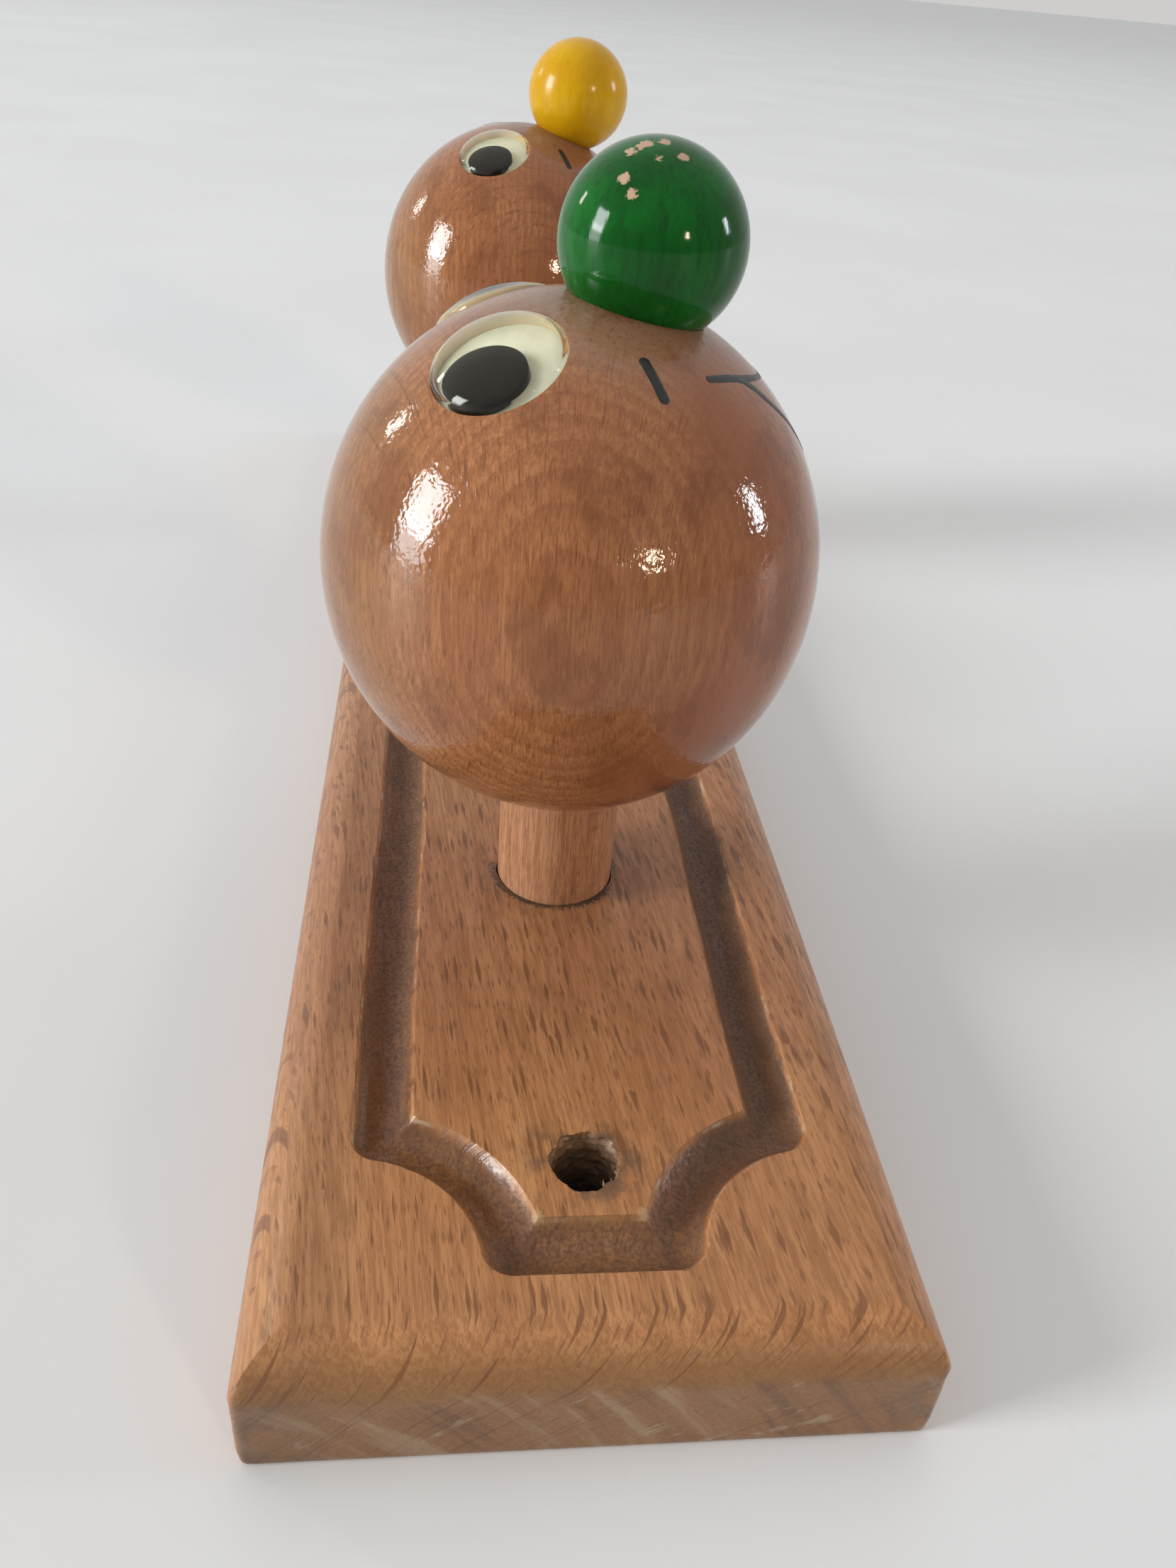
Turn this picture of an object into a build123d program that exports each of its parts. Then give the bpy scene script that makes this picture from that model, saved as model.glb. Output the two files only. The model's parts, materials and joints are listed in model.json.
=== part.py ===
from build123d import *
import os
from math import cos, radians, sin, sqrt

# Children's wall coat rack: a grooved wooden board with two pegs, and on each peg
# a ball head with a painted ball nose and two wiggle eyes with loose pupils.
# Millimetres. The board's back face lies on Z = 0, centred on the origin.
# X runs along the board, Y is up the wall, and Z points away from the wall.

os.makedirs("parts", exist_ok=True)

# Board
board_length = 250.0
board_width = 57.2
board_thickness = 12.8
edge_inset = 4.2
edge_drop = 4.0
edge_bulge = 0.75

# Routed groove: a frame with scooped corners, cut with a round-nosed bit
bit_radius = 3.175
groove_depth = 1.6
groove_end_margin = 10.25
groove_half_width = 18.05
scoop_radius = 14.1
scoop_end_margin = 8.1
scoop_half_width = 20.7

# Screw holes and pegs
screw_hole_radius = 3.0
screw_hole_margin = 18.8
peg_radius = 6.6
peg_margin = 60.7
peg_hole_rim = 0.4
peg_back_recess = 0.3

# Heads: turned balls, slightly taller along the grain, drilled a little off centre
head_radius = 24.3
head_half_height = 25.35
head_centre_height = 51.65
head_offset = 0.7
peg_socket_depth = 20.0

# Noses: each ball sits on the rim of a drilled recess and beds in slightly
recess_floor_radius = 20.0
nose_bite = 0.1

# Wiggle eyes, each seated in a shallow flat-bottomed recess
eye_radius = 6.0
eye_height = 3.3
eye_recess_radius = 6.1
eye_recess_depth = 1.1
eye_wall_height = 1.3
backing_thickness = 0.2
shell_thickness = 0.3
pupil_radius = 3.7
pupil_thickness = 1.1
pupil_offset = 1.9
pupil_lift = 0.05

# Each face: angles in degrees of the eyes and the nose, measured at the head's centre.
# The first turns from straight out of the board towards +X, the second towards +Y.
faces = {
    "left": {
        "side": -1,
        "nose": (1.5, -10.2),
        "nose_radius": 8.4,
        "recess_radius": 6.35,
        "eyes": {"left": (-22.7, 19.5), "right": (25.7, 18.7)},
    },
    "right": {
        "side": 1,
        "nose": (1.1, -17.1),
        "nose_radius": 8.55,
        "recess_radius": 4.9,
        "eyes": {"left": (-25.1, 12.2), "right": (27.5, 10.5)},
    },
}


def direction(angles):
    """Unit vector from a head's centre for a pair of face angles."""
    along, up = (radians(a) for a in angles)
    return Vector(sin(along) * cos(up), sin(up), cos(along) * cos(up))


def surface_distance(aim):
    """Distance from a head's centre to its surface along a unit vector."""
    across = (aim.X**2 + aim.Y**2) / head_radius**2
    along = aim.Z**2 / head_half_height**2
    return 1 / sqrt(across + along)


def rim_distance(aim, rim_radius):
    """Distance along a unit vector to the plane of a circle on the head's surface."""
    return sqrt(surface_distance(aim) ** 2 - rim_radius**2)


def peg_x(face):
    return face["side"] * (board_length / 2 - peg_margin)


def head_centre(face):
    return Vector(peg_x(face), head_offset, head_centre_height)


def nose_centre(face):
    """The nose rests on its recess's rim, pressed in by the bite."""
    aim = direction(face["nose"])
    seat = rim_distance(aim, face["recess_radius"])
    rise = sqrt(face["nose_radius"] ** 2 - face["recess_radius"] ** 2)
    return head_centre(face) + aim * (seat + rise - nose_bite)


def eye_plane(face, angles):
    """Floor of an eye's recess: Z out of the head, X to the side that lies lowest."""
    aim = direction(angles)
    depth = rim_distance(aim, eye_recess_radius) - eye_recess_depth
    origin = head_centre(face) + aim * depth
    low_side = aim * aim.Z - Vector(0, 0, 1)
    return Plane(origin=origin, x_dir=low_side, z_dir=aim)


def tube(start, end, radius):
    """Round cutter along a straight run, with ball ends."""
    run = end - start
    body = Plane(origin=start, z_dir=run) * Cylinder(
        radius, run.length, align=(Align.CENTER, Align.CENTER, Align.MIN)
    )
    return body + Pos(start) * Sphere(radius) + Pos(end) * Sphere(radius)


def bent_tube(start, middle, end, radius):
    """Round cutter along an arc."""
    path = ThreePointArc(start, middle, end)
    section = Plane(origin=path @ 0, z_dir=path % 0) * Circle(radius)
    return sweep(section, path=path)


def groove_cutter():
    """One quarter's arc and runs, mirrored to all four corners."""
    height = board_thickness + bit_radius - groove_depth
    end_x = board_length / 2 - groove_end_margin
    scoop_x = board_length / 2 - scoop_end_margin
    side_run = sqrt(scoop_radius**2 - (scoop_half_width - groove_half_width) ** 2)
    end_run = sqrt(scoop_radius**2 - (scoop_x - end_x) ** 2)
    on_side = Vector(scoop_x - side_run, groove_half_width, height)
    on_end = Vector(end_x, scoop_half_width - end_run, height)
    diagonal = scoop_radius / sqrt(2)
    on_scoop = Vector(scoop_x - diagonal, scoop_half_width - diagonal, height)
    scoop = bent_tube(on_side, on_scoop, on_end, bit_radius)
    side = tube(Vector(0, groove_half_width, height), on_side, bit_radius)
    end = tube(Vector(end_x, 0, height), on_end, bit_radius)
    quarter = [scoop, side, end]
    half = quarter + [mirror(piece, about=Plane.XZ) for piece in quarter]
    return half + [mirror(piece, about=Plane.YZ) for piece in half]


def board_section(half):
    """Cross-section of the board, flat below and rounded over along both upper edges."""
    shoulder = board_thickness - edge_drop
    bulge = Vector(edge_drop, edge_inset).normalized() * edge_bulge
    middle = Vector(half - edge_inset / 2, board_thickness - edge_drop / 2) + bulge
    right = ThreePointArc((half, shoulder), middle, (half - edge_inset, board_thickness))
    left = ThreePointArc(
        (edge_inset - half, board_thickness), (-middle.X, middle.Y), (-half, shoulder)
    )
    top = Line(right @ 1, left @ 0)
    base = Polyline(left @ 1, (-half, 0), (half, 0), right @ 0)
    return make_face(Curve() + [right, top, left, base])


def board_blank():
    """Board with mitred, rounded-over upper edges."""
    across = Plane.YZ * board_section(board_width / 2)
    along = Plane.XZ * board_section(board_length / 2)
    long_way = extrude(across, amount=board_length / 2, both=True)
    short_way = extrude(along, amount=board_width / 2, both=True)
    return long_way & short_way


def build_board():
    board = board_blank()
    for cutter in groove_cutter():
        board -= cutter
    screw_x = board_length / 2 - screw_hole_margin
    middle = board_thickness / 2
    rim = Cone(peg_radius, peg_radius + 2 * peg_hole_rim, 2 * peg_hole_rim)
    for side in (-1, 1):
        board -= Pos(side * screw_x, 0, middle) * Cylinder(screw_hole_radius, 2 * board_thickness)
        x = side * (board_length / 2 - peg_margin)
        board -= Pos(x, 0, middle) * Cylinder(peg_radius, 2 * board_thickness)
        board -= Pos(x, 0, board_thickness) * rim
    return board


def build_peg(face):
    tip = head_centre_height - head_half_height + peg_socket_depth
    length = tip - peg_back_recess
    peg = Cylinder(peg_radius, length, align=(Align.CENTER, Align.CENTER, Align.MIN))
    peg = chamfer(peg.edges().sort_by(Axis.Z)[-1], 0.6)
    return Pos(peg_x(face), 0, peg_back_recess) * peg


def build_head(face):
    """Turned ball with a peg socket and drilled recesses for the nose and the eyes."""
    outline = EllipticalCenterArc(
        (0, 0), head_radius, head_half_height, start_angle=-90, arc_size=180
    )
    section = make_face(Curve() + [outline, Line(outline @ 1, outline @ 0)])
    ball = revolve(Plane.XZ * section, axis=Axis.Z)
    centre = head_centre(face)
    head = Pos(centre) * ball
    head -= build_peg(face)
    aim = direction(face["nose"])
    recess = Plane(origin=centre + aim * recess_floor_radius, z_dir=aim) * Cylinder(
        face["recess_radius"], head_radius, align=(Align.CENTER, Align.CENTER, Align.MIN)
    )
    head -= recess
    head -= build_nose(face)
    for angles in face["eyes"].values():
        head -= eye_plane(face, angles) * Cylinder(
            eye_recess_radius, eye_height, align=(Align.CENTER, Align.CENTER, Align.MIN)
        )
    return head


def build_nose(face):
    return Pos(nose_centre(face)) * Sphere(face["nose_radius"])


def dome_section(radius, wall_top, crown):
    """Half section of a short wall under a shallow crown, on the XZ plane."""
    rise = crown - wall_top
    crown_radius = (radius**2 + rise**2) / (2 * rise)
    half = radius / 2
    mid_height = crown - crown_radius + sqrt(crown_radius**2 - half**2)
    base = backing_thickness
    outline = Polyline((0, crown), (0, base), (radius, base), (radius, wall_top))
    crown_arc = ThreePointArc((radius, wall_top), (half, mid_height), (0, crown))
    return Plane.XZ * make_face(Curve() + [outline, crown_arc])


def build_dome():
    wall_top = backing_thickness + eye_wall_height
    outer = revolve(dome_section(eye_radius, wall_top, eye_height), axis=Axis.Z)
    inner = revolve(
        dome_section(eye_radius - shell_thickness, wall_top, eye_height - shell_thickness),
        axis=Axis.Z,
    )
    return outer - inner


def build_pupil():
    pupil = Cylinder(pupil_radius, pupil_thickness, align=(Align.CENTER, Align.CENTER, Align.MIN))
    return Pos(pupil_offset, 0, backing_thickness + pupil_lift) * pupil


def build_backing():
    return Cylinder(eye_radius, backing_thickness, align=(Align.CENTER, Align.CENTER, Align.MIN))


def save(shape, node):
    export_step(shape, f"parts/{node}.step")


def save_eye(face, angles, name):
    seat = eye_plane(face, angles)
    save(seat * build_backing(), f"{name}_back")
    save(seat * build_pupil(), f"{name}_pupil")
    save(seat * build_dome(), f"{name}_dome")


def report_places():
    """Print the values that other files repeat: eye axes and head centres, in metres."""
    for side, face in faces.items():
        print(side, "head", head_centre(face) / 1000, "nose", nose_centre(face) / 1000)
        for eye, angles in face["eyes"].items():
            seat = eye_plane(face, angles)
            print(side, eye, "eye at", seat.origin / 1000, "axis", seat.z_dir)


save(build_board(), "back_board")
for side, face in faces.items():
    save(build_peg(face), f"{side}_peg")
    save(build_head(face), f"{side}_head")
    save(build_nose(face), f"{side}_nose")
    for eye, angles in face["eyes"].items():
        save_eye(face, angles, f"{side}_head_{eye}_eye")
report_places()
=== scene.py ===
import json
import math
import random

import bpy
import numpy as np
from mathutils import Matrix, Vector, noise


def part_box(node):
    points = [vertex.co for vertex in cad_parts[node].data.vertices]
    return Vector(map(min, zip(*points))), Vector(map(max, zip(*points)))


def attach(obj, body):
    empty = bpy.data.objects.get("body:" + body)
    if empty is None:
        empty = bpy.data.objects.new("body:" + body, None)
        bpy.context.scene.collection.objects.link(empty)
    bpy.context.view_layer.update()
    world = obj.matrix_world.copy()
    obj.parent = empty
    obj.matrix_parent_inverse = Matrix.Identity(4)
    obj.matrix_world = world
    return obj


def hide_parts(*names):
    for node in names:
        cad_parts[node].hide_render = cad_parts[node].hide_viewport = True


# Looks for the wooden coat rack with two ball heads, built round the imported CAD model.
# Lengths are written in millimetres and turned into metres when a mesh is made.

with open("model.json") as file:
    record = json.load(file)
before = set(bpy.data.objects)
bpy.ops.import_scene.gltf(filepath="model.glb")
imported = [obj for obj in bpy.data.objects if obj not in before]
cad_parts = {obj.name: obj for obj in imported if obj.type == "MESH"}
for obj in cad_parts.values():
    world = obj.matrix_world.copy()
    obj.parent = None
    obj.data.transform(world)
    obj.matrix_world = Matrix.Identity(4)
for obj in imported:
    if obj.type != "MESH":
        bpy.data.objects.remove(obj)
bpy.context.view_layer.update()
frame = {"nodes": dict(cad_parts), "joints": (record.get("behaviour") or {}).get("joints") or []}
scene = bpy.context.scene

MM = 0.001

# Board, as in the CAD
EDGE_INSET = 4.2
EDGE_DROP = 4.0
EDGE_BULGE = 0.75
BIT_RADIUS = 3.175
GROOVE_DEPTH = 1.6
GROOVE_END_MARGIN = 10.25
GROOVE_HALF_WIDTH = 18.05
SCOOP_RADIUS = 14.1
SCOOP_END_MARGIN = 8.1
SCOOP_HALF_WIDTH = 20.7
SCREW_HOLE_RADIUS = 3.0
SCREW_HOLE_MARGIN = 18.8
CORNER_RADIUS = 1.0

# Mesh of the board: steps of the top's grid, levels of its sides as parts of the edge's height
EDGE_STEP = 0.3
FINE_STEP = 0.35
COARSE_STEP = 1.6
FINE_LENGTH = 46.0
WALL_LEVELS = (0.90, 0.80, 0.70, 0.60, 0.50, 0.40, 0.30, 0.20, 0.12, 0.06, 0.02, 0.0)
DENT_COUNT = 70
SHARP_ANGLE = 36

# Torn fibres round a hole: the arc of the rim that carries them, in degrees, how many there
# are, how long the longest is and how far down they start
SCREW_FIBRES = dict(radius=SCREW_HOLE_RADIUS, arc=(205, 300), count=44, reach=1.0, depth=2.4)
PEG_FIBRES = dict(radius=6.75, arc=(150, 330), count=46, reach=0.7, depth=0.12)

# Softened ends of the pegs
PEG_TOP_CHAMFER = 0.6
PEG_FOOT_CHAMFER = 0.3

# Heads and eyes, as in the CAD
HEAD_RADIUS = 24.3
HEAD_HALF_HEIGHT = 25.35
HEAD_CENTRE_HEIGHT = 51.65
PUPIL_MIDDLE = 0.8
EYE_RADIUS = 6.0
EYE_HEIGHT = 3.3
BACKING_THICKNESS = 0.2
EYE_WALL_TOP = 1.5
SHELL_THICKNESS = 0.3
PUPIL_RADIUS = 3.7
PUPIL_OFFSET = 1.9
PUPIL_BOTTOM = 0.25
PUPIL_TOP = 1.35
DISC_RADIUS = 5.66
BORE_RADIUS = 5.7
OUTER_SHOULDER = 1.3
INNER_SHOULDER = 1.05

# Small gaps under the eye parts
DISC_BOTTOM = 0.02
DOME_BOTTOM = 0.03

# Haze on a dome's wall: clear above, full below, how much, and from where sideways
DOME_HAZE = {"left": (1.9, 1.45, 0.45, 0.5), "right": (2.5, 1.6, 0.20, -9.0)}

# Ink: the face's middle in degrees, and how far the strokes stand out and reach in
FACE_MIDDLE = 1.5
INK_PROUD = 0.045
INK_STEP = 0.004
INK_DEPTH = 0.12
DASH_WIDTH = 0.95

# The side of the board's middle on which each head stands
SIGNS = {"left": -1, "right": 1}


def corners(node):
    """A CAD node's lowest and highest corners, in millimetres."""
    low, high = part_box(node)
    return low / MM, high / MM


BOARD_HIGH = corners("back_board")[1]
HALF_LENGTH = BOARD_HIGH.x
HALF_WIDTH = BOARD_HIGH.y
THICKNESS = BOARD_HIGH.z
SCREW_X = HALF_LENGTH - SCREW_HOLE_MARGIN

# Half the groove's width at the top face, and the inner corner where the groove meets a scoop
GROOVE_HALF = math.sqrt(BIT_RADIUS**2 - (BIT_RADIUS - GROOVE_DEPTH) ** 2)
ISLAND_X = HALF_LENGTH - GROOVE_END_MARGIN - GROOVE_HALF
ISLAND_REACH = math.sqrt((SCOOP_RADIUS + GROOVE_HALF) ** 2
                         - (HALF_LENGTH - SCOOP_END_MARGIN - ISLAND_X) ** 2)
ISLAND_CORNER = (ISLAND_X, SCOOP_HALF_WIDTH - ISLAND_REACH, THICKNESS)


def middle(node):
    low, high = corners(node)
    return (low + high) / 2


def half_width(node):
    low, high = corners(node)
    return (high.x - low.x) / 2


def head_centre(side):
    centre = middle(f"{side}_head")
    return Vector((centre.x, centre.y, HEAD_CENTRE_HEIGHT))


# ---------- meshes


def set_shading(mesh, smooth, sharp_angle):
    mesh.polygons.foreach_set("use_smooth", [smooth] * len(mesh.polygons))
    if sharp_angle is not None:
        mesh.set_sharp_from_angle(angle=math.radians(sharp_angle))


def make_object(name, points, faces, smooth=True, sharp_angle=None):
    """A mesh object from points in millimetres."""
    mesh = bpy.data.meshes.new(name)
    scaled = np.asarray(points, dtype=float) * MM
    mesh.from_pydata(scaled.tolist(), [], [tuple(map(int, face)) for face in faces])
    mesh.update()
    set_shading(mesh, smooth, sharp_angle)
    piece = bpy.data.objects.new(name, mesh)
    scene.collection.objects.link(piece)
    return piece


def dress(piece, body, material, replaced=()):
    """Attach a piece to its body, give it its material and hide the CAD nodes it replaces."""
    piece.data.materials.clear()
    piece.data.materials.append(material)
    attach(piece, body)
    if replaced:
        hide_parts(*replaced)
    return piece


def ring_faces(upper, lower):
    """Faces between two rings of points. A ring can also be one point on the axis."""
    count = max(len(upper), len(lower))
    faces = []
    for k in range(count):
        n = (k + 1) % count
        a, b = upper[k % len(upper)], lower[k % len(lower)]
        c, d = lower[n % len(lower)], upper[n % len(upper)]
        faces.append(tuple(dict.fromkeys((a, b, c, d))))
    return faces


def lathe(profile, segments, shape=None):
    """Points and faces of a turned form. The profile runs from axis to axis, top first. The
    shape gives a point's radius from the plain radius, the height and the direction."""
    points = []
    rings = []
    for radius, height in profile:
        if radius < 1e-6:
            rings.append([len(points)])
            points.append((0.0, 0.0, height))
            continue
        start = len(points)
        for k in range(segments):
            turn = 2 * math.pi * k / segments
            x, y = math.cos(turn), math.sin(turn)
            r = radius if shape is None else shape(radius, height, x, y)
            points.append((r * x, r * y, height))
        rings.append(range(start, len(points)))
    faces = []
    for upper, lower in zip(rings, rings[1:]):
        faces += ring_faces(upper, lower)
    return points, faces


def placed(points, matrix):
    return [tuple(matrix @ Vector(p)) for p in points]


def turned(name, profile, segments, matrix, sharp_angle, shape=None):
    """A turned piece, made round Z and then placed."""
    points, faces = lathe(profile, segments, shape)
    return make_object(name, placed(points, matrix), faces, sharp_angle=sharp_angle)


def gathered(parts):
    """Several closed forms, each of points and faces, as one."""
    points, faces = [], []
    for more_points, more_faces in parts:
        start = len(points)
        points += more_points
        faces += [tuple(start + i for i in face) for face in more_faces]
    return points, faces


def baked(piece):
    """Apply a piece's modifiers to its mesh."""
    graph = bpy.context.evaluated_depsgraph_get()
    mesh = bpy.data.meshes.new_from_object(piece.evaluated_get(graph))
    old = piece.data
    piece.modifiers.clear()
    piece.data = mesh
    bpy.data.meshes.remove(old)
    return piece


def wobble(x, y, z, scale=1.0):
    return noise.noise(Vector((x, y, z)) * scale)


# ---------- board


def edge_height(inset):
    """Height of the rounded-over edge at a distance in from the board's side."""
    chord = math.hypot(EDGE_INSET, EDGE_DROP)
    radius = (chord**2 / 4 + EDGE_BULGE**2) / (2 * EDGE_BULGE)
    reach = EDGE_BULGE - radius
    centre_in = EDGE_INSET / 2 - EDGE_DROP / chord * reach
    centre_up = THICKNESS - EDGE_DROP / 2 + EDGE_INSET / chord * reach
    on_arc = np.clip(inset, 0, EDGE_INSET)
    arc = centre_up + np.sqrt(radius**2 - (on_arc - centre_in) ** 2)
    return np.where(inset < EDGE_INSET, arc, THICKNESS)


def groove_distance(x, y):
    """Distance in the plan from the middle of the routed groove."""
    y = y + 0.10 * np.sin(x / 9.1 + 1.3) + 0.05 * np.sin(x / 3.3)
    x, y = np.abs(x), np.abs(y)
    end_x = HALF_LENGTH - GROOVE_END_MARGIN
    scoop_x = HALF_LENGTH - SCOOP_END_MARGIN
    side_rise = SCOOP_HALF_WIDTH - GROOVE_HALF_WIDTH
    side_run = math.sqrt(SCOOP_RADIUS**2 - side_rise**2)
    end_run = math.sqrt(SCOOP_RADIUS**2 - (scoop_x - end_x) ** 2)
    past_side = np.maximum(x - (scoop_x - side_run), 0)
    past_end = np.maximum(y - (SCOOP_HALF_WIDTH - end_run), 0)
    to_side = np.hypot(past_side, y - GROOVE_HALF_WIDTH)
    to_end = np.hypot(x - end_x, past_end)
    turn = np.arctan2(SCOOP_HALF_WIDTH - y, scoop_x - x)
    first = math.atan2(side_rise, side_run)
    last = math.atan2(end_run, scoop_x - end_x)
    on_scoop = (turn > first) & (turn < last)
    from_scoop = np.abs(np.hypot(scoop_x - x, SCOOP_HALF_WIDTH - y) - SCOOP_RADIUS)
    to_scoop = np.where(on_scoop, from_scoop, np.inf)
    return np.minimum(np.minimum(to_side, to_end), to_scoop)


def snapped_to_groove(x, y):
    """Move grid points that lie near the groove's rim onto it, so the rim is one clean line."""
    step = 0.01
    gap = groove_distance(x, y) - GROOVE_HALF
    slope_x = (groove_distance(x + step, y) - groove_distance(x - step, y)) / (2 * step)
    slope_y = (groove_distance(x, y + step) - groove_distance(x, y - step)) / (2 * step)
    near = np.abs(gap) < 0.45 * FINE_STEP
    x = np.where(near, x - gap * slope_x, x)
    y = np.where(near, y - gap * slope_y, y)
    return x, y


def rounded_corners(x, y):
    """Pull the grid in at the four corners, so the upright edges are softly rounded."""
    zone = EDGE_INSET
    p = np.clip((zone - (HALF_LENGTH - np.abs(x))) / zone, 0, 1)
    q = np.clip((zone - (HALF_WIDTH - np.abs(y))) / zone, 0, 1)
    far = np.maximum(np.maximum(p, q), 1e-9)
    ratio = np.minimum(p, q) / far
    rounding = CORNER_RADIUS / zone
    flat = 1 - rounding
    inside = (flat * (1 + ratio)) ** 2 - (1 + ratio**2) * (2 * flat**2 - rounding**2)
    reach = (flat * (1 + ratio) + np.sqrt(np.maximum(inside, 0))) / (1 + ratio**2)
    pull = np.where(ratio > flat, reach - 1, 0) * far**3
    x = x + np.sign(x) * p * zone * pull
    y = y + np.sign(y) * q * zone * pull
    return x, y


def grid_lines(half, fine_length):
    """Grid lines from one side of the board to the other, closest together near its ends."""
    edge = np.arange(0, EDGE_INSET - 1e-6, EDGE_STEP)
    fine_count = max(1, round((fine_length - EDGE_INSET) / FINE_STEP))
    fine = np.linspace(EDGE_INSET, fine_length, fine_count, endpoint=False)
    coarse_count = max(1, round((half - fine_length) / COARSE_STEP))
    coarse = np.linspace(fine_length, half, coarse_count, endpoint=False)
    inset = np.concatenate([edge, fine, coarse if fine_length < half else []])
    return np.concatenate([inset - half, [0.0], (half - inset)[::-1]])


def dents(x, y):
    """Small knocks on the top face, as depths."""
    draw = random.Random(11)
    depth = np.zeros_like(x)
    for _ in range(DENT_COUNT):
        end = draw.choice((-1, 1))
        cx = end * (HALF_LENGTH - draw.uniform(2, 44))
        cy = draw.uniform(-1, 1) * (HALF_WIDTH - 2)
        long = draw.uniform(0.5, 1.6)
        wide = draw.uniform(0.3, 0.7)
        deep = draw.uniform(0.02, 0.09)
        depth += deep * np.exp(-(((x - cx) / long) ** 2) - ((y - cy) / wide) ** 2)
    return depth


def board_top():
    """Points of the board's top, rounded edges and groove, as a grid."""
    lines_x = grid_lines(HALF_LENGTH, FINE_LENGTH)
    lines_y = grid_lines(HALF_WIDTH, HALF_WIDTH)
    x, y = np.meshgrid(lines_x, lines_y, indexing="ij")
    inset_x = HALF_LENGTH - np.abs(x)
    inset_y = HALF_WIDTH - np.abs(y)
    height = np.minimum(edge_height(inset_x), edge_height(inset_y))
    inner = np.minimum(inset_x, inset_y) > EDGE_INSET + FINE_STEP
    snap_x, snap_y = snapped_to_groove(x, y)
    x = np.where(inner, snap_x, x)
    y = np.where(inner, snap_y, y)
    distance = np.minimum(groove_distance(x, y), GROOVE_HALF)
    floor = THICKNESS + BIT_RADIUS - GROOVE_DEPTH - np.sqrt(BIT_RADIUS**2 - distance**2)
    height = np.where(inner, np.minimum(height, floor), height)
    height = height - dents(x, y)
    x, y = rounded_corners(x, y)
    return x, y, height


def top_faces(height, index):
    """Two triangles for each square of the grid, folded along the higher diagonal."""
    a, b = index[:-1, :-1].ravel(), index[1:, :-1].ravel()
    c, d = index[1:, 1:].ravel(), index[:-1, 1:].ravel()
    rise = height.ravel()
    first = rise[a] + rise[c] >= rise[b] + rise[d]
    one = np.where(first[:, None], np.stack([a, b, c], 1), np.stack([a, b, d], 1))
    two = np.where(first[:, None], np.stack([a, c, d], 1), np.stack([b, c, d], 1))
    return np.concatenate([one, two]).tolist()


def outline(index):
    """The grid's border, anticlockwise seen from above."""
    return np.concatenate(
        [index[:-1, 0], index[-1, :-1], index[:0:-1, -1], index[0, :0:-1]]
    )


def wall_inset(x, y, z):
    """How far the board's side is worn back at a point."""
    edge = max(HALF_LENGTH - abs(x), HALF_WIDTH - abs(y))
    below_edge = min(1.0, (THICKNESS - EDGE_DROP - z) / 5.0)
    near_corner = max(0.0, 1 - edge / 2.5)
    chip = max(0.0, wobble(x, y, z * 1.2, 0.55) + 0.10) * 0.4
    base = 0.30 * max(0.0, 1 - z / 0.45) ** 2
    ripple = 0.02 * (1 + wobble(x, y, z, 0.8))
    return below_edge * (near_corner * chip + ripple) + base


def board_mesh():
    """The whole board before its holes are cut."""
    x, y, height = board_top()
    rows, columns = x.shape
    index = np.arange(rows * columns).reshape(rows, columns)
    points = np.stack([x.ravel(), y.ravel(), height.ravel()], 1).tolist()
    faces = top_faces(height, index)
    upper = outline(index).tolist()
    above = [points[i] for i in upper]
    for level in WALL_LEVELS:
        lower = []
        for px, py, pz in above:
            z = pz * level
            core_x = max(-HALF_LENGTH + CORNER_RADIUS, min(HALF_LENGTH - CORNER_RADIUS, px))
            core_y = max(-HALF_WIDTH + CORNER_RADIUS, min(HALF_WIDTH - CORNER_RADIUS, py))
            out = Vector((px - core_x, py - core_y, 0))
            out.normalize()
            back = wall_inset(px, py, z)
            lower.append(len(points))
            points.append((px - out.x * back, py - out.y * back, z))
        faces += ring_faces(upper, lower)
        upper = lower
    faces.append(upper[::-1])
    return points, faces


def screw_hole_cutter(side):
    """A drilled hole with torn, ragged walls."""
    profile = [(0.0, THICKNESS + 1)]
    steps = 60
    for k in range(steps + 1):
        z = THICKNESS + 1 - (THICKNESS + 2) * k / steps
        profile.append((SCREW_HOLE_RADIUS, z))
    profile.append((0.0, -1.0))

    def ragged(radius, height, x, y):
        torn = wobble(x * 2.0, y * 3.6, height * 0.5 + side * 7)
        layer = wobble(x * 2.6, y * 2.6, height * 2.3)
        fibre = wobble(x * 9.0, y * 11.0, height * 1.6)
        lip = max(0.0, height - THICKNESS + 0.8) * 0.22 * (1 + torn)
        return radius + 0.20 * torn + 0.22 * layer + 0.14 * fibre + lip

    points, faces = lathe(profile, 96, ragged)
    return placed(points, Matrix.Translation((side * SCREW_X, 0, 0))), faces


def peg_hole_cutter(side):
    """The peg's bore, with a worn rim at the top."""
    centre, radius = middle(f"{side}_peg"), half_width(f"{side}_peg")
    profile = [(0.0, THICKNESS + 1), (radius + 1.2, THICKNESS + 1)]
    for rise, spread in ((0.4, 0.30), (0.0, 0.10), (-0.35, 0.04), (-0.8, 0.01)):
        profile.append((radius + spread, THICKNESS + rise))
    profile += [(radius + 0.01, -1.0), (0.0, -1.0)]

    def ragged(r, height, x, y):
        if height < THICKNESS - 0.7:
            return r
        return r + 0.11 * wobble(x * 4.5, y * 7.5, height * 0.3 + centre.x - radius)

    points, faces = lathe(profile, 120, ragged)
    return placed(points, Matrix.Translation((centre.x, centre.y, 0))), faces


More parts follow.
